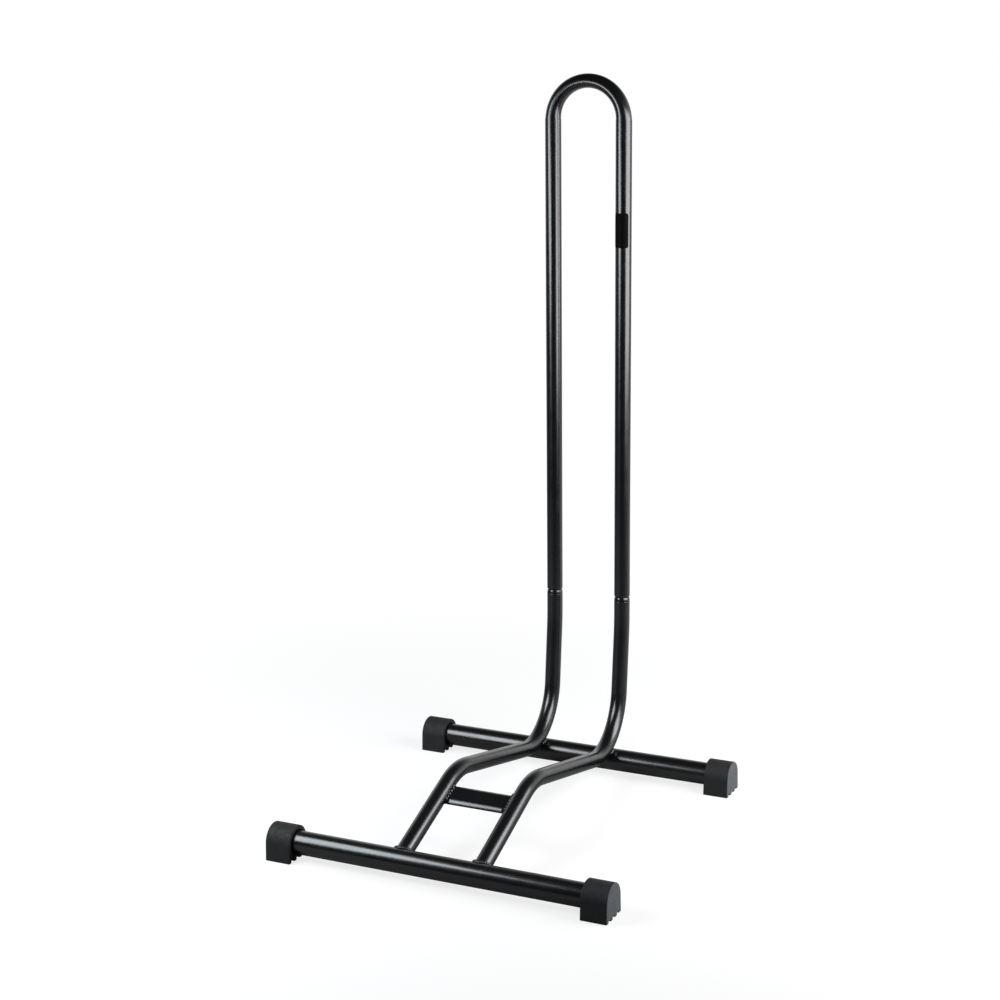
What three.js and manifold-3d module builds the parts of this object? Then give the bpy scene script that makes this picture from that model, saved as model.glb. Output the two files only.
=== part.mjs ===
// Floor bike rack: two crossbars in rubber feet, two bent cradle tubes welded across them,
// a brace strip between the tubes, and an upright hoop that plugs onto the tubes' spigots.
//
// Millimetres. +X runs along the crossbars, +Y points from the front crossbar to the hoop,
// +Z is up. The floor is z = 0 and the origin is the middle of the rack's footprint.

import * as THREE from 'three';
import { mergeVertices } from 'three/addons/utils/BufferGeometryUtils.js';
import Module from 'manifold-3d';

const wasm = await Module();
wasm.setup();

// ---------------------------------------------------------------- driving dimensions

// Steel tube stock.
const tubeDiameter = 18;
const tubeWall = 1.2;
const barDiameter = 25;
const barWall = 1.2;

// Base frame.
const barLength = 373;
const barSpacing = 355; // between the two crossbar axes
const barHeight = 18.5; // crossbar axis above the floor

// Cradle tubes, from the hoop joint down, over the rear crossbar and on to the front one.
const legSpacing = 84; // between the two leg axes
const legSetback = 37.5; // leg axes behind the rear crossbar axis
const shoulderHeight = 198; // where a cradle tube starts to neck down to its spigot
const socketStraight = 28; // straight length under the shoulder
const legLean = 5.6; // degrees that the tube leans forward under its straight top
const leanBendRadius = 300;
const rearBendRadius = 66;
const humpBendRadius = 72;
const humpSetback = 134; // corner of the hump behind the front crossbar axis
const humpHeight = 72; // corner of the hump above the floor
const frontSpread = 2.5; // how far each tube splays outwards by the time it reaches the front

// Spigots and hoop.
const neckHeight = 5.2; // height of the rounded shoulder
const spigotWall = 1.2;
const spigotClearance = 0.3; // radial, inside the hoop tube
const spigotEngagement = 40;
const spigotChamfer = 0.8;
const hoopHeight = 791.3; // top of the hoop above the floor
const hoopFlattening = 2.4; // taken off the tube's depth where it bends round the top

// Brace strip between the cradle tubes.
const braceWidth = 27.4;
const braceThickness = 4;
const braceSetback = 106.2; // strip centre from the front crossbar axis, along the tubes
const braceDrop = 2; // strip centre below the plane of the tube axes

// Rubber feet.
const footGrip = 23.3; // crossbar length held in a foot
const footEndWall = 5;
const footCrown = 5.4; // rubber over the crossbar
const footFlare = 0.9; // extra half width at the sole
const footEdgeRadius = 1.4;
const grooveCount = 3;
const grooveWidth = 5.8;
const grooveDepth = 2.5;

// Weld beads.
const frontBeadRadius = 2.6;
const braceBeadRadius = 2.2;
const braceBeadLength = 22;
const saddleBeadReach = new THREE.Vector3(9.5, 8.5, 4);

// Label on the right leg of the hoop.
const labelHeight = 38;
const labelMiddle = 622.5; // above the floor
const labelHalfAngle = 57; // degrees round the tube from its front
const labelThickness = 0.4;

// Fits.
const seatGap = 0.3; // between pieces that touch

// Roundness.
const tubeSides = 24;
const barSides = 32;
const bendStep = 7.5; // degrees of bend for each ring of a tube
const neckSteps = 4;
const crownSegments = 10; // round the top of a foot
const edgeSegments = 6; // round each long edge of the brace strip
const beadSides = 8;
const ringSegments = 32;

// How far a cutting tool runs past what it cuts.
const cutOverrun = 2;

// ---------------------------------------------------------------- derived sizes

const tubeRadius = tubeDiameter / 2;
const tubeBore = tubeRadius - tubeWall;
const barRadius = barDiameter / 2;
const legX = legSpacing / 2;
const hoopFootHeight = shoulderHeight + neckHeight + seatGap;
const hoopArcHeight = hoopHeight + hoopFlattening / 2 - tubeRadius - legX;
const spigotRadius = tubeBore - spigotClearance;
const spigotBore = spigotRadius - spigotWall;
const spigotTop = hoopFootHeight + spigotEngagement;
const footRadius = barRadius + footCrown;
const footHalfWidth = footRadius + footFlare;
const footInnerX = barLength / 2 - footGrip;
const footOuterX = barLength / 2 + seatGap + footEndWall;
const rearReach = Math.max(legSetback + tubeRadius, footHalfWidth);
const frontReach = barSpacing + footHalfWidth;
const footprintShift = (frontReach - rearReach) / 2;

const radians = THREE.MathUtils.degToRad;

// ---------------------------------------------------------------- materials

function blackPowderCoat() {
  return new THREE.MeshStandardMaterial({ color: 0x17191b, roughness: 0.36, metalness: 0.1 });
}

function rubber() {
  return new THREE.MeshStandardMaterial({ color: 0x26282a, roughness: 0.8, metalness: 0 });
}

function labelFilm() {
  return new THREE.MeshStandardMaterial({ color: 0x141416, roughness: 0.55, metalness: 0 });
}

// ---------------------------------------------------------------- solids and meshes

function solidOf(geometry) {
  const bare = geometry.clone();
  bare.deleteAttribute('normal');
  bare.deleteAttribute('uv');
  const merged = mergeVertices(bare, 1e-4);
  return new wasm.Manifold(
    new wasm.Mesh({
      numProp: 3,
      vertProperties: new Float32Array(merged.attributes.position.array),
      triVerts: new Uint32Array(merged.index.array),
    }),
  );
}

function geometryOf(solid) {
  const mesh = solid.getMesh();
  const geometry = new THREE.BufferGeometry();
  geometry.setAttribute('position', new THREE.BufferAttribute(mesh.vertProperties, 3));
  geometry.setIndex(new THREE.BufferAttribute(mesh.triVerts, 1));
  geometry.computeVertexNormals();
  return geometry;
}

function piece(name, geometry, material) {
  const mesh = new THREE.Mesh(geometry, material);
  mesh.name = name;
  return mesh;
}

function cut(solid, ...tools) {
  return tools.reduce((rest, tool) => rest.subtract(tool), solid);
}

// A round rod along X, centred on x = 0 at the given y and z.
function rodAlongX(radius, length, y, z, sides = barSides) {
  const geometry = new THREE.CylinderGeometry(radius, radius, length, sides);
  geometry.rotateZ(Math.PI / 2);
  geometry.translate(0, y, z);
  return geometry;
}

function disc(radius) {
  const shape = new THREE.Shape();
  shape.absarc(0, 0, radius, 0, 2 * Math.PI, false);
  return shape;
}

function annulus(outer, inner) {
  const shape = disc(outer);
  const hole = new THREE.Path();
  hole.absarc(0, 0, inner, 0, 2 * Math.PI, true);
  shape.holes.push(hole);
  return shape;
}

// ---------------------------------------------------------------- tube routes

// A route made of straight runs and arcs, kept as stations with exact points and directions.
// Rings of the tube stand only at stations, so straight runs need none between their ends.
class PipeRoute extends THREE.Curve {
  constructor(stations) {
    super();
    this.stations = stations;
  }

  get steps() {
    return this.stations.length - 1;
  }

  getPointAt(u, target = new THREE.Vector3()) {
    return target.copy(this.stations[Math.round(u * this.steps)].point);
  }

  getTangentAt(u, target = new THREE.Vector3()) {
    return target.copy(this.stations[Math.round(u * this.steps)].direction);
  }

  sweep(shape) {
    return new THREE.ExtrudeGeometry(shape, {
      extrudePath: this,
      steps: this.steps,
      curveSegments: tubeSides / 2,
      bevelEnabled: false,
    });
  }
}

function station(point, direction) {
  return { point: point.clone(), direction: direction.clone().normalize() };
}

// Stations round the bend where the line from `before` to `corner` turns towards `after`.
function bend(before, corner, after, radius) {
  const arriving = corner.clone().sub(before).normalize();
  const leaving = after.clone().sub(corner).normalize();
  const angle = arriving.angleTo(leaving);
  const start = corner.clone().addScaledVector(arriving, -radius * Math.tan(angle / 2));
  const axis = arriving.clone().cross(leaving).normalize();
  const toCentre = axis.clone().cross(arriving);
  const centre = start.clone().addScaledVector(toCentre, radius);
  const count = Math.max(1, Math.ceil(THREE.MathUtils.radToDeg(angle) / bendStep));
  const stations = [];
  for (let i = 0; i <= count; i += 1) {
    const turn = (angle * i) / count;
    const spoke = toCentre.clone().negate().applyAxisAngle(axis, turn);
    const direction = arriving.clone().applyAxisAngle(axis, turn);
    stations.push(station(centre.clone().addScaledVector(spoke, radius), direction));
  }
  return stations;
}

// A route through corner points, with one bend radius for each inner corner.
function bentRoute(corners, radii) {
  const last = corners.length - 1;
  const stations = [station(corners[0], corners[1].clone().sub(corners[0]))];
  for (let i = 1; i < last; i += 1) {
    stations.push(...bend(corners[i - 1], corners[i], corners[i + 1], radii[i - 1]));
  }
  stations.push(station(corners[last], corners[last].clone().sub(corners[last - 1])));
  return new PipeRoute(stations);
}

// The rear bend, seen from the side as (y, z) points: `kink` is where the straight top of the
// leg begins to lean, `corner` where the leaning leg meets the cradle run, and `hump` where
// the cradle run meets the front run. The bend rests on the rear crossbar, so its arc centre
// lies one bend radius in front of the leg, and as far from the crossbar's axis as the bend
// radius, both tube radii and the seat gap reach.
function solveRearBend() {
  const lean = radians(legLean);
  const kink = new THREE.Vector2(legSetback, shoulderHeight - socketStraight);
  const hump = new THREE.Vector2(humpSetback - barSpacing, humpHeight);
  const down = new THREE.Vector2(-Math.sin(lean), -Math.cos(lean));
  const forward = new THREE.Vector2(-Math.cos(lean), Math.sin(lean));
  const reach = rearBendRadius + tubeRadius + barRadius + seatGap;

  // Slide the arc centre down beside the leg until it is `reach` from the crossbar's axis.
  const beside = kink.clone().addScaledVector(forward, rearBendRadius);
  const toBar = new THREE.Vector2(0, barHeight).sub(beside);
  const along = toBar.dot(down);
  const aside = toBar.cross(down);
  const slide = along - Math.sqrt(reach * reach - aside * aside);
  const centre = beside.addScaledVector(down, slide);

  // The cradle run leaves the hump corner as a tangent to the underside of the arc.
  const toCentre = centre.clone().sub(hump);
  const dip = Math.asin(rearBendRadius / toCentre.length());
  const run = toCentre.normalize().rotateAround(new THREE.Vector2(), -dip);
  const distance = hump.clone().sub(kink).cross(run) / down.cross(run);
  const corner = kink.clone().addScaledVector(down, distance);
  return { kink, corner, hump, centre };
}

const rearBend = solveRearBend();

// x of a cradle tube's axis at a given y: straight above the rear corner, splayed in front.
function cradleX(side, y) {
  const start = rearBend.corner.x;
  const share = THREE.MathUtils.clamp((start - y) / (start + barSpacing), 0, 1);
  return side * (legX + frontSpread * share);
}

function cradleCorner(side, y, z) {
  return new THREE.Vector3(cradleX(side, y), y, z);
}

// Route of one cradle tube, from `top` above the floor to the front crossbar's axis.
function cradleRoute(side, top) {
  const { kink, corner, hump } = rearBend;
  return bentRoute(
    [
      cradleCorner(side, kink.x, top),
      cradleCorner(side, kink.x, kink.y),
      cradleCorner(side, corner.x, corner.y),
      cradleCorner(side, hump.x, hump.y),
      cradleCorner(side, -barSpacing, barHeight),
    ],
    [leanBendRadius, rearBendRadius, humpBendRadius],
  );
}

// Direction of the front run of a cradle tube, from the front crossbar up to the hump.
const frontRun = new THREE.Vector3(0, humpSetback, humpHeight - barHeight).normalize();
const frontRise = Math.atan2(frontRun.z, frontRun.y);

// ---------------------------------------------------------------- crossbars and feet

const crossbars = [
  { name: 'front', y: -barSpacing },
  { name: 'rear', y: 0 },
];
const sides = [
  { name: 'left', sign: -1 },
  { name: 'right', sign: 1 },
];

function crossbar(y) {
  const geometry = new THREE.ExtrudeGeometry(annulus(barRadius, barRadius - barWall), {
    depth: barLength,
    curveSegments: barSides / 2,
    bevelEnabled: false,
  });
  geometry.translate(0, 0, -barLength / 2);
  geometry.rotateY(Math.PI / 2);
  geometry.translate(0, y, barHeight);
  return geometry;
}

function barClearance(y) {
  return solidOf(rodAlongX(barRadius + seatGap, barLength, y, barHeight));
}

// Cross-section of a foot: a round crown with sides that run tangent to it down to the sole.
function footOutline() {
  const toCorner = Math.hypot(footHalfWidth, barHeight);
  const tangent = Math.acos(footRadius / toCorner) - Math.atan2(barHeight, footHalfWidth);
  const shape = new THREE.Shape();
  shape.moveTo(-footHalfWidth, -barHeight);
  shape.lineTo(footHalfWidth, -barHeight);
  shape.absarc(0, 0, footRadius, tangent, Math.PI - tangent, false);
  shape.closePath();
  return shape;
}

// One foot, from its mouth at x = 0 towards +X, with its crossbar axis on the X axis.
function footSolid() {
  const length = footOuterX - footInnerX;
  const body = new THREE.ExtrudeGeometry(footOutline(), {
    depth: length - 2 * footEdgeRadius,
    curveSegments: crownSegments,
    bevelSize: footEdgeRadius,
    bevelThickness: footEdgeRadius,
    bevelOffset: -footEdgeRadius,
    bevelSegments: edgeSegments / 2,
  });
  body.translate(0, 0, footEdgeRadius);
  body.rotateX(Math.PI / 2);
  body.rotateZ(Math.PI / 2);

  const pocketDepth = footGrip + seatGap;
  const pocket = rodAlongX(barRadius + seatGap, 2 * pocketDepth, 0, 0);

  const pitch = (2 * footHalfWidth) / (grooveCount + 0.5);
  const grooves = [];
  for (let i = 0; i < grooveCount; i += 1) {
    const groove = new THREE.BoxGeometry(2 * length, grooveWidth, 2 * grooveDepth);
    groove.translate(length / 2, pitch * (i - (grooveCount - 1) / 2), -barHeight);
    grooves.push(solidOf(groove));
  }
  return cut(solidOf(body), solidOf(pocket), ...grooves);
}

function foot(sign, y) {
  const geometry = geometryOf(footSolid());
  if (sign < 0) {
    geometry.rotateZ(Math.PI);
  }
  geometry.translate(sign * footInnerX, y, barHeight);
  return geometry;
}

// ---------------------------------------------------------------- cradle tubes and hoop

// Everything outside the necked end of a cradle tube, turned round the leg axis.
function neckCutter(x) {
  const beyond = tubeRadius + cutOverrun;
  const top = spigotTop + seatGap;
  const profile = [
    new THREE.Vector2(beyond, shoulderHeight),
    new THREE.Vector2(beyond, top),
    new THREE.Vector2(spigotRadius - spigotChamfer, top),
    new THREE.Vector2(spigotRadius, top - spigotChamfer),
  ];
  for (let i = 0; i <= neckSteps; i += 1) {
    const angle = (Math.PI / 2) * (1 - i / neckSteps);
    const radius = spigotRadius + (tubeRadius - spigotRadius) * Math.cos(angle);
    profile.push(new THREE.Vector2(radius, shoulderHeight + neckHeight * Math.sin(angle)));
  }
  profile.push(profile[0].clone());
  const geometry = new THREE.LatheGeometry(profile, tubeSides);
  geometry.rotateX(Math.PI / 2);
  geometry.translate(x, legSetback, 0);
  return solidOf(geometry);
}

function spigotBoreCutter(x) {
  const length = spigotTop - shoulderHeight + 2 * cutOverrun;
  const geometry = new THREE.CylinderGeometry(spigotBore, spigotBore, length, tubeSides);
  geometry.rotateX(Math.PI / 2);
  geometry.translate(x, legSetback, (spigotTop + shoulderHeight) / 2);
  return solidOf(geometry);
}

function cradleTube(side) {
  const rod = solidOf(cradleRoute(side, spigotTop).sweep(disc(tubeRadius)));
  const bore = solidOf(cradleRoute(side, shoulderHeight).sweep(disc(tubeBore)));
  const x = cradleX(side, legSetback);
  return cut(rod, bore, neckCutter(x), spigotBoreCutter(x), barClearance(-barSpacing));
}

function cradleClearance(side) {
  return solidOf(cradleRoute(side, shoulderHeight).sweep(disc(tubeRadius + seatGap)));
}

function hoopRoute() {
  const up = new THREE.Vector3(0, 0, 1);
  const down = up.clone().negate();
  const stations = [station(new THREE.Vector3(-legX, legSetback, hoopFootHeight), up)];
  const count = Math.ceil(180 / bendStep);
  for (let i = 0; i <= count; i += 1) {
    const angle = Math.PI * (1 - i / count);
    const point = new THREE.Vector3(
      legX * Math.cos(angle),
      legSetback,
      hoopArcHeight + legX * Math.sin(angle),
    );
    stations.push(station(point, new THREE.Vector3(Math.sin(angle), 0, -Math.cos(angle))));
  }
  stations.push(station(new THREE.Vector3(legX, legSetback, hoopFootHeight), down));
  return new PipeRoute(stations);
}

// The hoop's tube, a little flattened across its bend, most at the crown.
function hoopTube() {
  const geometry = hoopRoute().sweep(annulus(tubeRadius, tubeBore));
  const position = geometry.attributes.position;
  for (let i = 0; i < position.count; i += 1) {
    const x = position.getX(i);
    const rise = position.getZ(i) - hoopArcHeight;
    if (rise > 0) {
      const reach = Math.hypot(x, rise);
      const share = (hoopFlattening / tubeDiameter) * Math.sqrt(rise / reach);
      const flattened = reach + (legX - reach) * share;
      position.setX(i, (x * flattened) / reach);
      position.setZ(i, hoopArcHeight + (rise * flattened) / reach);
    }
  }
  return geometry;
}

function label() {
  const inner = tubeRadius + seatGap;
  const front = -Math.PI / 2;
  const half = radians(labelHalfAngle);
  const shape = new THREE.Shape();
  shape.absarc(0, 0, inner + labelThickness, front - half, front + half, false);
  shape.absarc(0, 0, inner, front + half, front - half, true);
  shape.closePath();
  const geometry = new THREE.ExtrudeGeometry(shape, {
    depth: labelHeight,
    curveSegments: edgeSegments,
    bevelEnabled: false,
  });
  geometry.translate(legX, legSetback, labelMiddle - labelHeight / 2);
  return geometry;
}

// ---------------------------------------------------------------- brace and welds

// Middle of the brace strip, on x = 0.
function braceMiddle() {
  return new THREE.Vector3(0, -barSpacing, barHeight)
    .addScaledVector(frontRun, braceSetback)
    .add(new THREE.Vector3(0, Math.sin(frontRise), -Math.cos(frontRise)).multiplyScalar(braceDrop));
}

// A strip with round long edges across the rack, in the slope of the tubes' front run.
function strip(width, thickness) {
  const round = thickness / 2;
  const flat = width / 2 - round;
  const shape = new THREE.Shape();
  shape.moveTo(-flat, -round);
  shape.absarc(flat, 0, round, -Math.PI / 2, Math.PI / 2, false);
  shape.absarc(-flat, 0, round, Math.PI / 2, 1.5 * Math.PI, false);
  const length = 2 * cradleX(1, -barSpacing + braceSetback);
  const geometry = new THREE.ExtrudeGeometry(shape, {
    depth: length,
    curveSegments: edgeSegments,
    bevelEnabled: false,
  });
  geometry.translate(0, 0, -length / 2);
  geometry.rotateX(Math.PI / 2);
  geometry.rotateZ(Math.PI / 2);
  geometry.rotateX(frontRise);
  const middle = braceMiddle();
  geometry.translate(0, middle.y, middle.z);
  return geometry;
}

// Ring of weld where a cradle tube's end meets the front crossbar.
function frontWeld(side) {
  const axisPoint = cradleCorner(side, -barSpacing, barHeight);
  const up = cradleCorner(side, humpSetback - barSpacing, humpHeight).sub(axisPoint).normalize();
  const across = new THREE.Vector3(1, 0, 0).addScaledVector(up, -up.x).normalize();
  const over = up.clone().cross(across);
  const points = [];
  for (let i = 0; i < ringSegments; i += 1) {
    const angle = (2 * Math.PI * i) / ringSegments;
    const spoke = across
      .clone()
      .multiplyScalar(tubeRadius * Math.cos(angle))
      .addScaledVector(over, tubeRadius * Math.sin(angle));
    // Distance along the tube at which this side of it reaches the crossbar's surface.
    const a = up.y * up.y + up.z * up.z;
    const b = spoke.y * up.y + spoke.z * up.z;
    const c = spoke.y * spoke.y + spoke.z * spoke.z - barRadius * barRadius;
    const reach = (-b + Math.sqrt(b * b - a * c)) / a;
    points.push(axisPoint.clone().add(spoke).addScaledVector(up, reach));
  }
  const path = new THREE.CatmullRomCurve3(points, true);
  const ring = new THREE.TubeGeometry(path, ringSegments, frontBeadRadius, beadSides, true);
  return cut(solidOf(ring), cradleClearance(side), barClearance(-barSpacing));
}

// Pad of weld round the spot where a cradle tube lies on the rear crossbar.
function rearWeld(side) {
  const barAxis = new THREE.Vector2(0, barHeight);
  const normal = rearBend.centre.clone().sub(barAxis).normalize();
  const spot = barAxis.addScaledVector(normal, barRadius);
  const pad = new THREE.SphereGeometry(1, 2 * beadSides, beadSides);
  pad.scale(saddleBeadReach.x, saddleBeadReach.y, saddleBeadReach.z);
  pad.rotateX(Math.atan2(-normal.x, normal.y));
  pad.translate(cradleX(side, spot.x), spot.x, spot.y);
  return cut(solidOf(pad), cradleClearance(side), barClearance(0));
}

// Bead along the top face of the brace strip, where it meets a cradle tube.
function braceWeld(side) {
  const bead = new THREE.CapsuleGeometry(braceBeadRadius, braceBeadLength, beadSides / 2, beadSides);
  bead.rotateX(frontRise);
  const middle = braceMiddle();
  const depthBelowAxis = braceDrop - braceThickness / 2;
  const flank = Math.sqrt(tubeRadius * tubeRadius - depthBelowAxis * depthBelowAxis);
  const top = new THREE.Vector3(0, -Math.sin(frontRise), Math.cos(frontRise));
  const spot = middle.addScaledVector(top, braceThickness / 2);
  bead.translate(cradleX(side, spot.y) - side * flank, spot.y, spot.z);
  const stripClearance = solidOf(strip(braceWidth + 2 * seatGap, braceThickness + 2 * seatGap));
  return cut(solidOf(bead), cradleClearance(side), stripClearance);
}

// ---------------------------------------------------------------- assembly

function buildBase() {
  const base = new THREE.Group();
  for (const bar of crossbars) {
    base.add(piece(`${bar.name}_crossbar`, crossbar(bar.y), blackPowderCoat()));
    for (const side of sides) {
      base.add(piece(`foot_${bar.name}_${side.name}`, foot(side.sign, bar.y), rubber()));
    }
  }
  for (const side of sides) {
    const welded = [
      [`${side.name}_cradle_tube`, cradleTube(side.sign)],
      [`weld_front_${side.name}`, frontWeld(side.sign)],
      [`weld_rear_${side.name}`, rearWeld(side.sign)],
      [`weld_brace_${side.name}`, braceWeld(side.sign)],
    ];
    for (const [name, solid] of welded) {
      base.add(piece(name, geometryOf(solid), blackPowderCoat()));
    }
  }
  const brace = cut(solidOf(strip(braceWidth, braceThickness)), cradleClearance(-1), cradleClearance(1));
  base.add(piece('cradle_brace', geometryOf(brace), blackPowderCoat()));
  return base;
}

function buildHoop() {
  const hoop = new THREE.Group();
  hoop.add(piece('upright_hoop', hoopTube(), blackPowderCoat()));
  hoop.add(piece('blank_label', label(), labelFilm()));
  return hoop;
}

const rack = new THREE.Group();
rack.add(buildBase(), buildHoop());
rack.position.y = footprintShift;

export default rack;
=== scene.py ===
"""Looks of the floor bike rack: smooth tubes, weld beads, rubber feet and a blank label.

Metres. +X runs along the crossbars, +Y points from the front crossbar to the hoop, +Z is up.
"""

import math

import bmesh
import bpy
from mathutils import Matrix, Vector, noise


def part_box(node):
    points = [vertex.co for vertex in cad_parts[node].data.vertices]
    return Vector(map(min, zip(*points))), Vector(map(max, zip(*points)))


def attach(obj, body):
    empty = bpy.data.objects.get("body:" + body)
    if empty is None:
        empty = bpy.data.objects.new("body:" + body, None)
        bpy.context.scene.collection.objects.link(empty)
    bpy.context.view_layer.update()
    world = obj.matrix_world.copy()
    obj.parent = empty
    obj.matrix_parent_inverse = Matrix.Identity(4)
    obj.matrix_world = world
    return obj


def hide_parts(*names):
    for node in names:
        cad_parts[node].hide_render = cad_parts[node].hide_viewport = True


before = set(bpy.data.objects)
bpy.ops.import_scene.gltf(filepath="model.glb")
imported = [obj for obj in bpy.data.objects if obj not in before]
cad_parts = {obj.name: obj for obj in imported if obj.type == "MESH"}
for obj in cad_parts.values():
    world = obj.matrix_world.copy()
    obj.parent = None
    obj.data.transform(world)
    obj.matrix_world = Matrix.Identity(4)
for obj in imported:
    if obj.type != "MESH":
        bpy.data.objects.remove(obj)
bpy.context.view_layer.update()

MM = 0.001
X_AXIS = Vector((1, 0, 0))
Y_AXIS = Vector((0, 1, 0))
SIDES = {"left": -1, "right": 1}
BARS = ("front", "rear")

# ------------------------------------------------------------------ sizes read from the frame

hoop_low, hoop_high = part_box("upright_hoop")
TUBE_RADIUS = (hoop_high.y - hoop_low.y) / 2
LEG_X = hoop_high.x - TUBE_RADIUS
LEG_Y = (hoop_low.y + hoop_high.y) / 2
HOOP_FOOT = hoop_low.z
HOOP_TOP = hoop_high.z
SPIGOT_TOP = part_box("left_cradle_tube")[1].z

front_bar_low, front_bar_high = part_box("front_crossbar")
rear_bar_low, rear_bar_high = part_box("rear_crossbar")
BAR_RADIUS = (front_bar_high.z - front_bar_low.z) / 2
BAR_HEIGHT = (front_bar_high.z + front_bar_low.z) / 2
BAR_END = front_bar_high.x
FOOT_OUTER_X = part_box("foot_front_right")[1].x
BAR_Y = {
    "front": (front_bar_low.y + front_bar_high.y) / 2,
    "rear": (rear_bar_low.y + rear_bar_high.y) / 2,
}

brace_low, brace_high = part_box("cradle_brace")
BRACE_MIDDLE = (brace_low + brace_high) / 2

# ------------------------------------------------------------------ driving sizes

TUBE_WALL = 1.2 * MM
BAR_WALL = 1.2 * MM
HOOP_FLATTENING = 2.4 * MM

SHOULDER_HEIGHT = 198 * MM
SOCKET_STRAIGHT = 28 * MM
LEG_LEAN = math.radians(5.6)
LEAN_BEND = 300 * MM
REAR_BEND = 66 * MM
HUMP_BEND = 72 * MM
HUMP_SETBACK = 134 * MM
HUMP_HEIGHT = 72 * MM
FRONT_SPREAD = 2.5 * MM

NECK_HEIGHT = 5.2 * MM
SPIGOT_RADIUS = 7.5 * MM
SPIGOT_WALL = 1.2 * MM
SPIGOT_CHAMFER = 0.8 * MM
LIP_ROLL = 1.1 * MM  # how far a cut tube end is rolled in
LIP_LENGTH = 1.6 * MM

BRACE_WIDTH = 27.4 * MM
BRACE_THICKNESS = 4 * MM
BRACE_ROLL = 5.2 * MM  # the top face rolls down over this much at either edge
BRACE_ROLL_DEPTH = 3.4 * MM
BRACE_ROLL_POWER = 1.45  # 1 is round, more is flatter along its middle
WELD_BITE = 0.4 * MM  # how far a welded end reaches into what it meets

FOOT_END_WALL = 5 * MM
FOOT_EDGE = 1.5 * MM
MOUTH_GAP = 0.25 * MM
MOUTH_FLARE = 0.9 * MM  # how far the mouth opens out round the bar
MOUTH_DEPTH = 2.5 * MM
GROOVE_COUNT = 3
GROOVE_WIDTH = 5.8 * MM
GROOVE_DEPTH = 2.5 * MM
SOLE_PITCHES = GROOVE_COUNT + 0.5  # the sole's width, in distances from groove to groove

# how soft the edges of a foot are, as shares of FOOT_EDGE
CORNER_SOFTNESS = 1  # along the two lower corners
GROOVE_SOFTNESS = 0.4
OUTER_SOFTNESS = 0.8  # round the closed outer end
MOUTH_SOFTNESS = 0.5  # round the open end
RIM_SOFTNESS = 0.4  # where the pocket's flare meets the open end

BEAD_RADIUS = 2.3 * MM
BRACE_BEAD_RADIUS = 2.6 * MM
BRACE_BEAD_LENGTH = 26.5 * MM
RIPPLE = (2.3 * MM, 0.16)  # pitch, and depth as a share of the bead's radius
BRACE_RIPPLE = (4.4 * MM, 0.42)
BEAD_WANDER = 0.14  # how unevenly a bead swells, as a share of its radius
BEAD_WANDER_WAVES = 260  # to the metre
BEAD_TAPER = 2.5 * MM
BEAD_TIP = 0.02  # share of a bead's section that is left at its very end
PAD_REACH = (7.4 * MM, 7.5 * MM, 2.8 * MM)  # half its size along the bar, round it and out
PAD_RIPPLES = 14
PAD_RIPPLE_DEPTH = 0.05

LABEL_HALF_ANGLE = math.radians(57)
LABEL_CORNER = 2.5 * MM
LABEL_LIFT = 0.05 * MM
LABEL_THICKNESS = 0.3 * MM

RING_SIDES = 72
BEND_STEP = math.radians(1.5)

# ------------------------------------------------------------------ materials


def new_material(name):
    material = bpy.data.materials.new(name)
    material.use_nodes = True
    tree = material.node_tree
    return material, tree, tree.nodes["Principled BSDF"]


def noise_of(tree, waves, detail):
    """A 3-D noise in the object's own metres, with so many waves to the metre."""
    coordinates = tree.nodes.new("ShaderNodeTexCoord")
    texture = tree.nodes.new("ShaderNodeTexNoise")
    texture.inputs["Scale"].default_value = waves
    texture.inputs["Detail"].default_value = detail
    tree.links.new(coordinates.outputs["Object"], texture.inputs["Vector"])
    return texture.outputs["Fac"]


def mottle(tree, waves, detail, low, high, spread=(0.3, 0.7)):
    """A noise in greys or colours, which goes from low to high between the levels of spread."""
    node = tree.nodes.new("ShaderNodeValToRGB")
    for element, position, value in zip(node.color_ramp.elements, spread, (low, high)):
        element.position = position
        element.color = (*value, 1) if isinstance(value, tuple) else (value, value, value, 1)
    tree.links.new(noise_of(tree, waves, detail), node.inputs["Fac"])
    return node.outputs["Color"]


def math_node(tree, operation, *sources):
    node = tree.nodes.new("ShaderNodeMath")
    node.operation = operation
    for source, socket in zip(sources, node.inputs):
        tree.links.new(source, socket)
    return node.outputs[0]


def range_node(tree, source, span, result=(0, 1), kind="SMOOTHSTEP"):
    """Maps a source's span on to the result, whose ends hold beyond the span."""
    node = tree.nodes.new("ShaderNodeMapRange")
    node.interpolation_type = kind
    node.inputs["From Min"].default_value, node.inputs["From Max"].default_value = span
    node.inputs["To Min"].default_value, node.inputs["To Max"].default_value = result
    tree.links.new(source, node.inputs["Value"])
    return node.outputs[0]


def axis_of(tree, space, axis):
    """One axis of the Object or the Generated coordinates."""
    coordinates = tree.nodes.new("ShaderNodeTexCoord")
    split = tree.nodes.new("ShaderNodeSeparateXYZ")
    tree.links.new(coordinates.outputs[space], split.inputs[0])
    return split.outputs[axis]


def finish_look(tree, shader, tone, gloss, specular, relief):
    """Joins a look to its shader; relief is layers of (height source, depth in metres)."""
    tree.links.new(tone, shader.inputs["Base Color"])
    tree.links.new(gloss, shader.inputs["Roughness"])
    shader.inputs["Specular IOR Level"].default_value = specular
    previous = None
    for source, depth in relief:
        node = tree.nodes.new("ShaderNodeBump")
        node.inputs["Strength"].default_value = 1.0
        node.inputs["Distance"].default_value = depth
        tree.links.new(source, node.inputs["Height"])
        if previous:
            tree.links.new(previous, node.inputs["Normal"])
        previous = node.outputs["Normal"]
    tree.links.new(previous, shader.inputs["Normal"])


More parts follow.
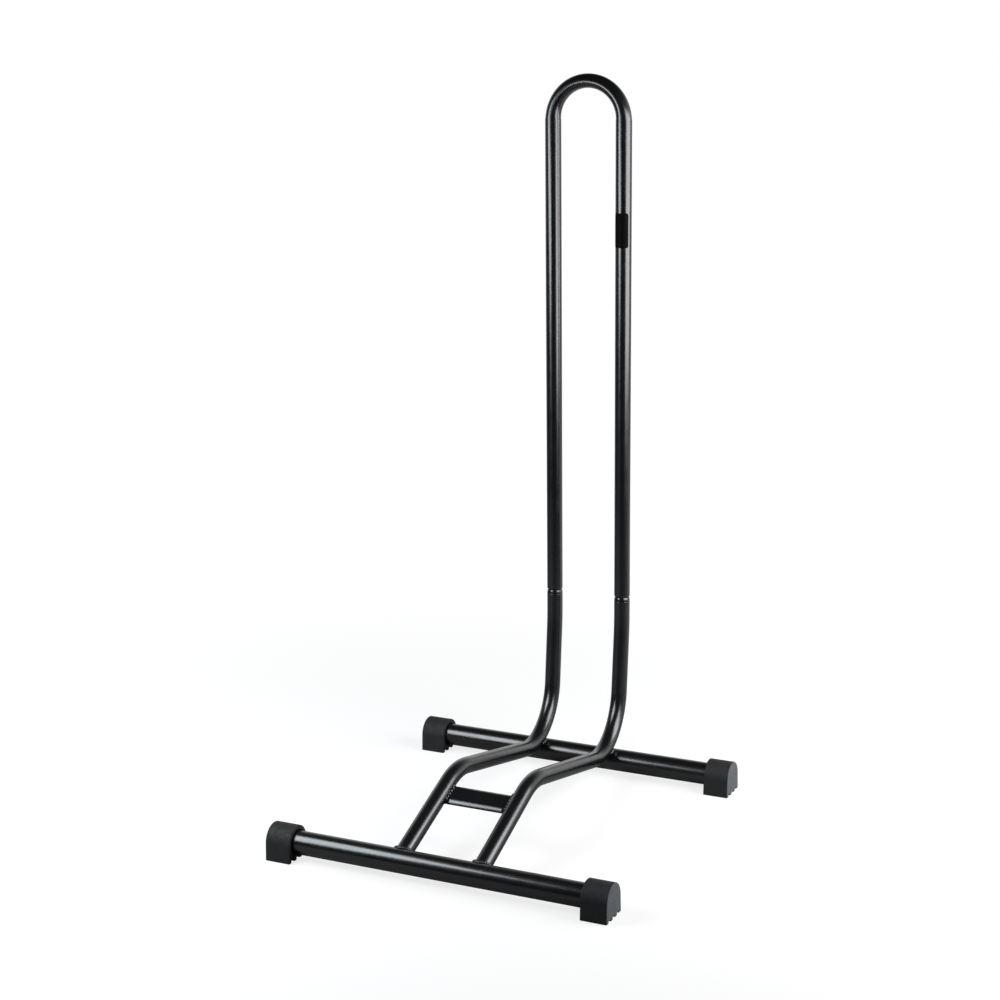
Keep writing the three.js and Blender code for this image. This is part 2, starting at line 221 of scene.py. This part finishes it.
def powder_coat():
    material, tree, shader = new_material("powder_coat_look")
    darkest, palest = (0.0026, 0.0034, 0.0044), (0.0044, 0.0056, 0.0070)
    tone = mottle(tree, waves=35, detail=4, low=darkest, high=palest)
    gloss = mottle(tree, waves=90, detail=3, low=0.22, high=0.27)
    orange_peel = noise_of(tree, waves=480, detail=2)
    finish_look(tree, shader, tone, gloss, specular=0.9, relief=[(orange_peel, 0.003 * MM)])
    return material


def painted_light_bloom_share(tree):
    """1 on the outer end faces of the feet, else 0; there the rubber gets painted light on a
    bloomed grey skin.
    """
    outward = math_node(tree, "ABSOLUTE", axis_of(tree, "Object", "X"))
    return range_node(tree, outward, (FOOT_OUTER_X - 0.9 * MM, FOOT_OUTER_X - 0.1 * MM))


def blend(tree, share, first, second):
    """One colour where share is 0 and the other where it is 1."""
    mix = tree.nodes.new("ShaderNodeMix")
    mix.data_type = "RGBA"
    colour_a, colour_b, colour_result = 6, 7, 2  # places of the node's colour sockets
    tree.links.new(share, mix.inputs["Factor"])
    tree.links.new(first, mix.inputs[colour_a])
    tree.links.new(second, mix.inputs[colour_b])
    return mix.outputs[colour_result]


def rubber():
    material, tree, shader = new_material("rubber_look")
    darkest, palest = (0.011, 0.0125, 0.013), (0.017, 0.0185, 0.019)
    plain = mottle(tree, waves=120, detail=4, low=darkest, high=palest)
    # lighter mottled grey of the outer end faces: painted light from the lamps, on rubber with a
    # grey bloomed skin
    darkest, palest = (0.084, 0.091, 0.095), (0.165, 0.177, 0.183)
    painted_light_bloom = mottle(tree, waves=700, detail=4, low=darkest, high=palest, spread=(0.35, 0.65))
    tone = blend(tree, painted_light_bloom_share(tree), plain, painted_light_bloom)
    gloss = mottle(tree, waves=260, detail=3, low=0.62, high=0.78)
    waviness = noise_of(tree, waves=160, detail=2)
    grain = noise_of(tree, waves=1800, detail=3)
    relief = [(waviness, 0.1 * MM), (grain, 0.02 * MM)]
    finish_look(tree, shader, tone, gloss, specular=0.5, relief=relief)
    return material


def label_film():
    material, tree, shader = new_material("film_look")
    darkest, palest = (0.0015, 0.0015, 0.0017), (0.0026, 0.0026, 0.0028)
    tone = mottle(tree, waves=300, detail=3, low=darkest, high=palest)
    gloss = mottle(tree, waves=700, detail=2, low=0.55, high=0.65)
    grain = noise_of(tree, waves=3500, detail=1)
    finish_look(tree, shader, tone, gloss, specular=0.06, relief=[(grain, 0.004 * MM)])
    return material


LOOKS = {
    "black_powder_coat": powder_coat(),
    "foot_rubber": rubber(),
    "label_film": label_film(),
}

# ------------------------------------------------------------------ mesh building


def ring_mesh(name, rings, closed):
    """A skin over successive rings of points. closed joins the last ring to the first."""
    mesh_data = bmesh.new()
    layers = [[mesh_data.verts.new(point) for point in ring] for ring in rings]
    pairs = list(zip(layers, layers[1:]))
    if closed:
        pairs.append((layers[-1], layers[0]))
    for low, high in pairs:
        count = len(low)
        for i in range(count):
            j = (i + 1) % count
            mesh_data.faces.new((low[i], low[j], high[j], high[i]))
    if not closed:
        mesh_data.faces.new(reversed(layers[0]))
        mesh_data.faces.new(layers[-1])
    return finish_mesh(name, mesh_data)


def finish_mesh(name, mesh_data):
    bmesh.ops.recalc_face_normals(mesh_data, faces=mesh_data.faces)
    mesh = bpy.data.meshes.new(name)
    mesh_data.to_mesh(mesh)
    mesh_data.free()
    mesh.shade_smooth()
    thing = bpy.data.objects.new(name, mesh)
    bpy.context.scene.collection.objects.link(thing)
    return thing


def dress(thing, node, body, slot):
    """The piece stands for a CAD node, takes its slot's finish and moves with its body."""
    thing.data.materials.append(LOOKS[slot])
    weighted = thing.modifiers.new("even_shading", "WEIGHTED_NORMAL")
    weighted.keep_sharp = True
    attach(thing, body)
    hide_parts(node)


# ------------------------------------------------------------------ tube routes


def bend_stations(before, corner, after, radius):
    """Stations (point, direction) round the bend at a corner."""
    arriving = (corner - before).normalized()
    leaving = (after - corner).normalized()
    angle = arriving.angle(leaving)
    start = corner - arriving * radius * math.tan(angle / 2)
    axis = arriving.cross(leaving).normalized()
    centre = start + axis.cross(arriving) * radius
    count = max(2, math.ceil(angle / BEND_STEP))
    stations = []
    for i in range(count + 1):
        turn = Matrix.Rotation(angle * i / count, 3, axis)
        stations.append((centre + turn @ (start - centre), turn @ arriving))
    return stations


def bent_route(corners, radii):
    stations = [(corners[0], (corners[1] - corners[0]).normalized())]
    for i, radius in enumerate(radii):
        stations += bend_stations(*corners[i : i + 3], radius)
    stations.append((corners[-1], (corners[-1] - corners[-2]).normalized()))
    return stations


def ring_round(point, direction, across, radius):
    """One ring of a tube round a point on its axis, which starts at the side that across gives."""
    side = (across - direction * across.dot(direction)).normalized()
    over = direction.cross(side)
    ring = []
    for i in range(RING_SIDES):
        angle = 2 * math.pi * i / RING_SIDES
        ring.append(point + side * radius * math.cos(angle) + over * radius * math.sin(angle))
    return ring


def plane_cross(a, b):
    return a.x * b.y - a.y * b.x


def solve_rear_bend():
    """The rear bend from the side, as (y, z) points: kink, corner, hump and the bend's centre."""
    kink = Vector((LEG_Y, SHOULDER_HEIGHT - SOCKET_STRAIGHT))
    hump = Vector((BAR_Y["front"] + HUMP_SETBACK, HUMP_HEIGHT))
    down = Vector((-math.sin(LEG_LEAN), -math.cos(LEG_LEAN)))
    forward = Vector((-math.cos(LEG_LEAN), math.sin(LEG_LEAN)))
    seat_gap = 0.3 * MM
    reach = REAR_BEND + TUBE_RADIUS + BAR_RADIUS + seat_gap
    beside = kink + forward * REAR_BEND
    to_bar = Vector((BAR_Y["rear"], BAR_HEIGHT)) - beside
    slide = to_bar.dot(down) - math.sqrt(reach**2 - plane_cross(to_bar, down) ** 2)
    centre = beside + down * slide
    to_centre = centre - hump
    dip = math.asin(REAR_BEND / to_centre.length)
    run = (Matrix.Rotation(-dip, 2) @ to_centre).normalized()
    distance = plane_cross(hump - kink, run) / plane_cross(down, run)
    return kink, kink + down * distance, hump, centre


KINK, REAR_CORNER, HUMP, REAR_CENTRE = solve_rear_bend()


def cradle_x(side, y):
    """x of a cradle tube's axis: straight above the rear corner, splayed in front of it."""
    share = (REAR_CORNER.x - y) / (REAR_CORNER.x - BAR_Y["front"])
    return side * (LEG_X + FRONT_SPREAD * min(max(share, 0), 1))


def cradle_point(side, y, z):
    return Vector((cradle_x(side, y), y, z))


def front_run(side):
    """Direction of a cradle tube from the front crossbar up to the hump."""
    bottom = cradle_point(side, BAR_Y["front"], BAR_HEIGHT)
    return (cradle_point(side, HUMP.x, HUMP.y) - bottom).normalized()


FRONT_RISE = math.atan2(HUMP_HEIGHT - BAR_HEIGHT, HUMP_SETBACK)
RISE_ALONG = Vector((0, math.cos(FRONT_RISE), math.sin(FRONT_RISE)))
RISE_ABOVE = Vector((0, -math.sin(FRONT_RISE), math.cos(FRONT_RISE)))
FRONT_BAR_MIDDLE = Vector((0, BAR_Y["front"], BAR_HEIGHT))


def flank_at(point):
    """How far a cradle tube's flank stands out from its axis along X, level with a point."""
    height = (point - FRONT_BAR_MIDDLE).dot(RISE_ABOVE)
    return math.sqrt(TUBE_RADIUS**2 - height**2)


# ------------------------------------------------------------------ cradle tubes


def saddle_reach(up, spoke):
    """How far along `up` from the crossbar's axis a line at offset `spoke` meets its surface."""
    a = up.y**2 + up.z**2
    b = spoke.y * up.y + spoke.z * up.z
    c = spoke.y**2 + spoke.z**2 - BAR_RADIUS**2
    return (-b + math.sqrt(b * b - a * c)) / a


def saddle_ring(side, radius):
    """Ring where a cradle tube of the given radius meets the front crossbar."""
    bottom = cradle_point(side, BAR_Y["front"], BAR_HEIGHT)
    up = front_run(side)
    ring = []
    for point in ring_round(Vector(), -up, X_AXIS, radius):
        ring.append(bottom + point + up * (saddle_reach(up, point) - WELD_BITE))
    return ring


def neck_profile():
    """(height, radius) of the outside of a tube's necked end, from the shoulder to the top."""
    profile = []
    steps = 16
    for i in range(steps + 1):
        angle = math.pi / 2 * i / steps
        radius = SPIGOT_RADIUS + (TUBE_RADIUS - SPIGOT_RADIUS) * math.cos(angle)
        profile.append((SHOULDER_HEIGHT + NECK_HEIGHT * math.sin(angle), radius))
    profile.append((SPIGOT_TOP - SPIGOT_CHAMFER, SPIGOT_RADIUS))
    profile.append((SPIGOT_TOP, SPIGOT_RADIUS - SPIGOT_CHAMFER))
    return profile


def cradle_tube(side):
    corners = [
        cradle_point(side, LEG_Y, SHOULDER_HEIGHT),
        cradle_point(side, KINK.x, KINK.y),
        cradle_point(side, REAR_CORNER.x, REAR_CORNER.y),
        cradle_point(side, HUMP.x, HUMP.y),
        cradle_point(side, BAR_Y["front"], BAR_HEIGHT),
    ]
    route = bent_route(corners, (LEAN_BEND, REAR_BEND, HUMP_BEND))[:-1]
    down = Vector((0, 0, -1))
    bore = TUBE_RADIUS - TUBE_WALL
    spigot_bore = SPIGOT_RADIUS - SPIGOT_WALL

    def level(height, radius):
        point = Vector((side * LEG_X, LEG_Y, height))
        return ring_round(point, down, X_AXIS, radius)

    outside = [level(height, radius) for height, radius in reversed(neck_profile())]
    outside += [ring_round(p, d, X_AXIS, TUBE_RADIUS) for p, d in route]
    outside.append(saddle_ring(side, TUBE_RADIUS))
    inside = [saddle_ring(side, bore)]
    inside += [ring_round(p, d, X_AXIS, bore) for p, d in reversed(route)]
    inside += [level(SHOULDER_HEIGHT + NECK_HEIGHT, spigot_bore), level(SPIGOT_TOP, spigot_bore)]
    return outside + inside


# ------------------------------------------------------------------ hoop


def hoop_rings(radius, roll_in):
    """Rings of the hoop from its left foot to its right one, flattened a little over the top."""
    arc_height = HOOP_TOP + HOOP_FLATTENING / 2 - TUBE_RADIUS - LEG_X
    up = Vector((0, 0, 1))
    ends = []
    lip_steps = 4
    for i in range(lip_steps + 1):
        turn = math.pi / 2 * i / lip_steps
        shrink = roll_in * (1 - math.sin(turn))
        rise = LIP_LENGTH * (1 - math.cos(turn))
        ends.append((rise, radius - shrink))
    straight_above = 6 * MM
    ends.append((straight_above, radius))
    rings = []
    for rise, r in ends:
        rings.append(ring_round(Vector((-LEG_X, LEG_Y, HOOP_FOOT + rise)), up, Y_AXIS, r))
    centre = Vector((0, LEG_Y, arc_height))
    count = math.ceil(math.pi / BEND_STEP)
    for i in range(count + 1):
        angle = math.pi * (1 - i / count)
        spoke = Vector((math.cos(angle), 0, math.sin(angle)))
        direction = Vector((math.sin(angle), 0, -math.cos(angle)))
        share = HOOP_FLATTENING / (2 * TUBE_RADIUS) * math.sqrt(max(spoke.z, 0))
        ring = []
        for point in ring_round(centre + spoke * LEG_X, direction, Y_AXIS, radius):
            squeeze = (LEG_X - (point - centre).dot(spoke)) * share
            ring.append(point + spoke * squeeze)
        rings.append(ring)
    for rise, r in reversed(ends):
        rings.append(ring_round(Vector((LEG_X, LEG_Y, HOOP_FOOT + rise)), -up, Y_AXIS, r))
    return rings


def hoop():
    outside = hoop_rings(TUBE_RADIUS, LIP_ROLL)
    inside = hoop_rings(TUBE_RADIUS - TUBE_WALL, 0)
    return outside + inside[::-1]


# ------------------------------------------------------------------ crossbars and brace


def crossbar(y):
    bore = BAR_RADIUS - BAR_WALL
    ease = 0.4 * MM
    stops = [(-BAR_END, BAR_RADIUS - ease), (-BAR_END + ease, BAR_RADIUS)]
    stops += [(BAR_END - ease, BAR_RADIUS), (BAR_END, BAR_RADIUS - ease)]
    stops += [(BAR_END, bore), (-BAR_END, bore)]
    return [ring_round(Vector((x, y, BAR_HEIGHT)), X_AXIS, Y_AXIS, radius) for x, radius in stops]


def brace():
    """Rings of the brace strip: its rounded section, coped to the tubes at both ends."""
    underside_round = BRACE_THICKNESS - BRACE_ROLL_DEPTH
    widest = BRACE_THICKNESS / 2 - BRACE_ROLL_DEPTH
    edge = []
    arc_steps = 9
    for i in range(-arc_steps, arc_steps + 1):
        angle = math.pi / 2 * i / arc_steps
        if i > 0:
            inward = BRACE_ROLL * (1 - max(math.cos(angle), 0) ** BRACE_ROLL_POWER)
            rise = BRACE_ROLL_DEPTH * math.sin(angle) ** BRACE_ROLL_POWER
        else:
            inward = underside_round * (1 - math.cos(angle))
            rise = underside_round * math.sin(angle)
        edge.append((BRACE_WIDTH / 2 - inward, widest + rise))
    section = edge + [(-along, above) for along, above in reversed(edge)]
    rings = []
    sections_across = 12
    for i in range(sections_across + 1):
        ring = []
        for along, above in section:
            point = BRACE_MIDDLE + RISE_ALONG * along + RISE_ABOVE * above
            reach = cradle_x(1, point.y) - flank_at(point) + WELD_BITE
            ring.append(point + X_AXIS * reach * (2 * i / sections_across - 1))
        rings.append(ring)
    return rings


# ------------------------------------------------------------------ weld beads


def bead(path, normals, radius, closed, ripple, seed):
    """Rings of a rippled weld bead along a path, with a normal at each point; open ends taper."""
    count = len(path)
    lengths = [0.0]
    for a, b in zip(path, path[1:]):
        lengths.append(lengths[-1] + (b - a).length)
    total = lengths[-1] + ((path[0] - path[-1]).length if closed else 0)
    pitch, depth = ripple
    ripples = max(1, round(total / pitch))
    sides = 14
    rings = []
    for i in range(count):
        ahead = path[(i + 1) % count] if closed or i + 1 < count else path[i]
        behind = path[i - 1] if closed or i > 0 else path[i]
        direction = (ahead - behind).normalized()
        phase = (lengths[i] / total * ripples) % 1
        swell = 1 - depth * (2 * phase - 1) ** 2
        unevenness = noise.noise(path[i] * BEAD_WANDER_WAVES + Vector((seed, 0, 0)))
        size = radius * swell * (1 + BEAD_WANDER * unevenness)
        if not closed:
            to_end = min(1, min(lengths[i], total - lengths[i]) / BEAD_TAPER)
            size *= math.sqrt(max(BEAD_TIP, to_end * (2 - to_end)))
        normal = (normals[i] - direction * normals[i].dot(direction)).normalized()
        side = direction.cross(normal)
        ring = []
        for k in range(sides):
            angle = 2 * math.pi * k / sides
            ring.append(path[i] + normal * size * math.cos(angle) + side * size * math.sin(angle))
        rings.append(ring)
    return rings


def front_weld(side):
    """Ring of weld where a cradle tube meets the front crossbar."""
    bottom = cradle_point(side, BAR_Y["front"], BAR_HEIGHT)
    up = front_run(side)
    across = (X_AXIS - up * up.x).normalized()
    over = up.cross(across)
    path = []
    normals = []
    steps = 220
    sink = 0.5 * MM
    for i in range(steps):
        angle = 2 * math.pi * i / steps
        spoke = across * math.cos(angle) + over * math.sin(angle)
        foot = bottom + spoke * TUBE_RADIUS + up * saddle_reach(up, spoke * TUBE_RADIUS)
        bar_normal = Vector((0, foot.y - bottom.y, foot.z - bottom.z)).normalized()
        outward = (spoke + bar_normal).normalized()
        path.append(foot + outward * sink)
        normals.append(outward)
    return bead(path, normals, BEAD_RADIUS, True, RIPPLE, seed=side)


def brace_weld(side):
    """Bead along the top of the brace strip, where it meets a cradle tube."""
    top = BRACE_MIDDLE + RISE_ABOVE * BRACE_THICKNESS / 2
    flank = flank_at(top)
    inward = X_AXIS * -side
    path = []
    normals = []
    steps = 90
    for i in range(steps + 1):
        point = top + RISE_ALONG * BRACE_BEAD_LENGTH * (i / steps - 0.5)
        point.x = cradle_x(side, point.y) - side * flank
        path.append(point)
        normals.append((inward + RISE_ABOVE).normalized())
    return bead(path, normals, BRACE_BEAD_RADIUS, False, BRACE_RIPPLE, seed=3 + side)


def rear_weld(side):
    """Rippled pad of weld where a cradle tube lies on the rear crossbar."""
    bar_axis = Vector((BAR_Y["rear"], BAR_HEIGHT))
    away = (REAR_CENTRE - bar_axis).normalized()
    spot = bar_axis + away * BAR_RADIUS
    normal = Vector((0, away.x, away.y))
    round_bar = Vector((0, away.y, -away.x))
    centre = Vector((cradle_x(side, spot.x), spot.x, spot.y))
    reach_along_bar, reach_round_bar, reach_out = PAD_REACH
    layers = 20
    sides = 48
    rings = []
    for i in range(1, layers):
        tilt = math.pi * i / layers
        ring = []
        for k in range(sides):
            turn = 2 * math.pi * k / sides
            ripple = 1 + PAD_RIPPLE_DEPTH * math.sin(turn * PAD_RIPPLES)
            offset = X_AXIS * reach_along_bar * math.sin(tilt) * math.cos(turn) * ripple
            offset += round_bar * reach_round_bar * math.sin(tilt) * math.sin(turn) * ripple
            offset += normal * reach_out * math.cos(tilt)
            ring.append(centre + offset)
        rings.append(ring)
    return rings


# ------------------------------------------------------------------ feet


def foot_section(low, high, y):
    """Outline of a foot as (y, z, softness) corners: crown, sides and the ribbed sole."""
    crown = high.z - BAR_HEIGHT
    half_width = (high.y - low.y) / 2
    to_corner = math.hypot(half_width, BAR_HEIGHT)
    tangent = math.acos(crown / to_corner) - math.atan2(BAR_HEIGHT, half_width)
    steps = 40
    points = []
    for i in range(steps + 1):
        angle = tangent + (math.pi - 2 * tangent) * i / steps
        points.append((y + crown * math.cos(angle), BAR_HEIGHT + crown * math.sin(angle), 0))
    pitch = 2 * half_width / SOLE_PITCHES
    groove_top = low.z + GROOVE_DEPTH
    points.append((y - half_width, low.z, CORNER_SOFTNESS))
    for i in range(GROOVE_COUNT):
        middle = y + pitch * (i - (GROOVE_COUNT - 1) / 2)
        front, back = middle - GROOVE_WIDTH / 2, middle + GROOVE_WIDTH / 2
        for corner in ((front, low.z), (front, groove_top), (back, groove_top), (back, low.z)):
            points.append((*corner, GROOVE_SOFTNESS))
    points.append((y + half_width, low.z, CORNER_SOFTNESS))
    return points


def foot(bar, side_name):
    """A rubber foot: a D-shaped block with soft edges, a ribbed sole and a blind pocket."""
    name = f"foot_{bar}_{side_name}"
    side = SIDES[side_name]
    low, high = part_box(name)
    mouth_x, outer_x = (low.x, high.x) if side > 0 else (high.x, low.x)
    section = foot_section(low, high, BAR_Y[bar])
    shape = bmesh.new()
    softness = shape.edges.layers.float.new("bevel_weight_edge")
    mouth = [shape.verts.new((mouth_x, y, z)) for y, z, _ in section]
    outer = [shape.verts.new((outer_x, y, z)) for y, z, _ in section]
    count = len(section)
    for i in range(count):
        j = (i + 1) % count
        shape.faces.new((mouth[i], mouth[j], outer[j], outer[i]))
        groove_edge = section[i][2] == section[j][2] == GROOVE_SOFTNESS
        for ring, edge_softness in ((mouth, MOUTH_SOFTNESS), (outer, OUTER_SOFTNESS)):
            edge = shape.edges.get((ring[i], ring[j]))
            edge[softness] = GROOVE_SOFTNESS if groove_edge else edge_softness
        shape.edges.get((mouth[i], outer[i]))[softness] = section[i][2]
    shape.faces.new(outer)

    pocket_radius = BAR_RADIUS + MOUTH_GAP
    pocket_depth = abs(outer_x - mouth_x) - FOOT_END_WALL
    centre = Vector((mouth_x, BAR_Y[bar], BAR_HEIGHT))
    pocket = []
    for depth, radius in (
        (0, pocket_radius + MOUTH_FLARE),
        (MOUTH_DEPTH, pocket_radius),
        (pocket_depth, pocket_radius),
    ):
        ring = ring_round(centre + X_AXIS * side * depth, X_AXIS, Y_AXIS, radius)
        pocket.append([shape.verts.new(point) for point in ring])
    for front, back in zip(pocket, pocket[1:]):
        for i in range(RING_SIDES):
            j = (i + 1) % RING_SIDES
            shape.faces.new((front[i], front[j], back[j], back[i]))
    rim, bottom = pocket[0], pocket[-1]
    shape.faces.new(bottom)
    mouth_edges = [shape.edges.get((mouth[i], mouth[(i + 1) % count])) for i in range(count)]
    rim_edges = [shape.edges.get((rim[i], rim[(i + 1) % RING_SIDES])) for i in range(RING_SIDES)]
    for edge in rim_edges:
        edge[softness] = RIM_SOFTNESS
    open_end = mouth_edges + rim_edges
    bmesh.ops.triangle_fill(shape, edges=open_end, use_beauty=True, use_dissolve=False)
    thing = finish_mesh(name + "_rubber", shape)
    bevel = thing.modifiers.new("soft_edges", "BEVEL")
    bevel.limit_method = "WEIGHT"
    bevel.width = FOOT_EDGE
    bevel.segments = 5
    return thing


# ------------------------------------------------------------------ label


def label():
    """A thin blank film round the front of the hoop's right leg, with rounded corners."""
    low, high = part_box("blank_label")
    inner = TUBE_RADIUS + LABEL_LIFT
    rows = 32
    columns = 36
    half_width = inner * LABEL_HALF_ANGLE
    height = high.z - low.z

    def half_span(z):
        near_edge = min(z - low.z, high.z - z)
        if near_edge >= LABEL_CORNER:
            return half_width
        missing = LABEL_CORNER - near_edge
        return half_width - LABEL_CORNER + math.sqrt(LABEL_CORNER**2 - missing**2)

    rings = []
    for i in range(rows + 1):
        z = low.z + height * (1 - math.cos(math.pi * i / rows)) / 2
        ring = []
        for radius, order in ((inner, 1), (inner + LABEL_THICKNESS, -1)):
            for k in range(columns + 1):
                share = order * (2 * k / columns - 1)
                angle = share * half_span(z) / inner - math.pi / 2
                x, y = LEG_X + radius * math.cos(angle), LEG_Y + radius * math.sin(angle)
                ring.append(Vector((x, y, z)))
        rings.append(ring)
    return rings


# ------------------------------------------------------------------ the rack


def build_rack():
    for bar in BARS:
        name = f"{bar}_crossbar"
        tube = ring_mesh(name + "_tube", crossbar(BAR_Y[bar]), closed=True)
        dress(tube, name, "base", "black_powder_coat")
        for side_name in SIDES:
            dress(foot(bar, side_name), f"foot_{bar}_{side_name}", "base", "foot_rubber")
    for side_name, side in SIDES.items():
        tube = ring_mesh(f"{side_name}_cradle_pipe", cradle_tube(side), closed=True)
        dress(tube, f"{side_name}_cradle_tube", "base", "black_powder_coat")
        welds = {
            "weld_front": (front_weld(side), True),
            "weld_rear": (rear_weld(side), False),
            "weld_brace": (brace_weld(side), False),
        }
        for kind, (rings, closed) in welds.items():
            thing = ring_mesh(f"{kind}_{side_name}_bead", rings, closed)
            dress(thing, f"{kind}_{side_name}", "base", "black_powder_coat")
    strip = ring_mesh("brace_strip", brace(), closed=False)
    dress(strip, "cradle_brace", "base", "black_powder_coat")
    pipe = ring_mesh("hoop_pipe", hoop(), closed=True)
    dress(pipe, "upright_hoop", "hoop", "black_powder_coat")
    sheet = ring_mesh("label_sheet", label(), closed=False)
    dress(sheet, "blank_label", "hoop", "label_film")


# ------------------------------------------------------------------ studio

CAMERA_PLACE = Vector((0.873, -1.882, 0.8575))
CAMERA_AZIMUTH = math.radians(25.3)
CAMERA_DROP = math.radians(13.54)
CAMERA_ROLL = math.radians(-0.59)
CAMERA_LENS = 73.0  # mm, as is the sensor's width
SENSOR_WIDTH = 36.0

WHITE = (1, 1, 1, 1)
STUDIO_STRENGTH = (0.04, 1.0)  # the world's light: the dim studio, and what shows as white
# the white backdrop in reflections, by the Z and the Y part of where the reflected ray goes:
# none of it at the first number and beyond, all of it at the second and beyond
BACKDROP_UPWARD = (0.75, 0.1)
BACKDROP_BACKWARD = (-0.15, 0.5)

FLOOR_SIZE = 30.0
FLOOR_COLOUR = (0.3, 0.3, 0.3, 1)
FLOOR_ROUGHNESS = 0.9
FLOOR_SPECULAR = 0.1
FLOOR_FADE = (0.3, 1.4)  # metres from the middle over which the floor turns white
FLOOR_LIFT = (0.78, 1.0)  # what the floor gives out for the camera, near the middle and beyond
FLOOR_BEHIND = (0.15, 0.9)  # metres behind the middle over which a reflection's glow sets in
FLOOR_GLOW = 0.5  # what a reflection sees of the bright floor behind the rack


def aimed(turn, tilt, roll):
    """Rotation of a camera or lamp that faces +Y, turned about Z, tilted down and then rolled."""
    facing = Matrix.Rotation(turn, 4, "Z") @ Matrix.Rotation(math.pi / 2 - tilt, 4, "X")
    return (facing @ Matrix.Rotation(roll, 4, "Z")).to_euler()


def add_camera():
    data = bpy.data.cameras.new("camera")
    data.lens = CAMERA_LENS
    data.sensor_width = SENSOR_WIDTH
    camera = bpy.data.objects.new("camera", data)
    camera.location = CAMERA_PLACE
    camera.rotation_euler = aimed(CAMERA_AZIMUTH, CAMERA_DROP, CAMERA_ROLL)
    bpy.context.scene.collection.objects.link(camera)
    bpy.context.scene.camera = camera


def softbox(name, place, turn, tilt, roll, width, height, radiance, tint):
    """A lamp aimed by angles in degrees, whose radiance stays the same at any size."""
    data = bpy.data.lights.new(name, "AREA")
    data.shape = "RECTANGLE"
    data.size = width
    data.size_y = height
    data.energy = radiance * math.pi * width * height
    data.color = tint
    lamp = bpy.data.objects.new(name, data)
    lamp.location = place
    lamp.rotation_euler = aimed(math.radians(turn), math.radians(tilt), math.radians(roll))
    lamp.visible_camera = False
    bpy.context.scene.collection.objects.link(lamp)


def by_ray(tree, for_reflections, for_camera=None):
    """How bright each kind of ray finds a surface.

    Camera and transmission rays find it for_camera, or 1, glossy ones for_reflections, others 0.
    """
    path = tree.nodes.new("ShaderNodeLightPath")
    is_camera, is_transmission = path.outputs["Is Camera Ray"], path.outputs["Is Transmission Ray"]
    seen = math_node(tree, "MAXIMUM", is_camera, is_transmission)
    if for_camera is not None:
        seen = math_node(tree, "MULTIPLY", seen, for_camera)
    reflected = math_node(tree, "MULTIPLY", path.outputs["Is Glossy Ray"], for_reflections)
    return math_node(tree, "MAXIMUM", seen, reflected)


def add_world():
    """White for the camera; for reflections a white backdrop low down and a dim studio above."""
    world = bpy.data.worlds.new("studio")
    bpy.context.scene.world = world
    world.use_nodes = True
    tree = world.node_tree
    low_down = range_node(tree, axis_of(tree, "Generated", "Z"), BACKDROP_UPWARD)
    behind = range_node(tree, axis_of(tree, "Generated", "Y"), BACKDROP_BACKWARD)
    white = by_ray(tree, math_node(tree, "MULTIPLY", low_down, behind))
    strength = range_node(tree, white, (0, 1), STUDIO_STRENGTH, "LINEAR")
    background = tree.nodes["Background"]
    background.inputs["Color"].default_value = WHITE
    tree.links.new(strength, background.inputs["Strength"])


def add_floor():
    """A floor that keeps the rack's shadow; its glow is seen and reflected but lights nothing."""
    shape = bmesh.new()
    bmesh.ops.create_grid(shape, x_segments=2, y_segments=2, size=FLOOR_SIZE / 2)
    mesh = bpy.data.meshes.new("floor")
    shape.to_mesh(mesh)
    shape.free()
    floor = bpy.data.objects.new("floor", mesh)
    bpy.context.scene.collection.objects.link(floor)
    material, tree, shader = new_material("floor_paint")
    shader.inputs["Base Color"].default_value = FLOOR_COLOUR
    shader.inputs["Roughness"].default_value = FLOOR_ROUGHNESS
    shader.inputs["Specular IOR Level"].default_value = FLOOR_SPECULAR
    shader.inputs["Emission Color"].default_value = WHITE
    place = tree.nodes.new("ShaderNodeTexCoord")
    distance = tree.nodes.new("ShaderNodeVectorMath")
    distance.operation = "LENGTH"
    tree.links.new(place.outputs["Object"], distance.inputs[0])
    lift = range_node(tree, distance.outputs["Value"], FLOOR_FADE, FLOOR_LIFT)
    behind = range_node(tree, axis_of(tree, "Object", "Y"), FLOOR_BEHIND, (0, FLOOR_GLOW))
    tree.links.new(by_ray(tree, behind, lift), shader.inputs["Emission Strength"])
    mesh.materials.append(material)


def build_studio():
    add_camera()
    add_world()
    add_floor()
    softbox(
        "left_softbox",
        place=(-0.51, -0.463, 0.604),
        turn=-3.7,
        tilt=38.4,
        roll=43.2,
        width=0.42,
        height=0.58,
        radiance=7.6,
        tint=(0.90, 0.96, 1.0),
    )
    softbox(
        "right_softbox",
        place=(0.902, 0.283, 0.615),
        turn=59.7,
        tilt=12,
        roll=0,
        width=1.12,
        height=0.65,
        radiance=6.4,
        tint=(0.97, 0.97, 1.0),
    )
    bpy.context.scene.view_settings.view_transform = "Standard"


build_rack()
build_studio()
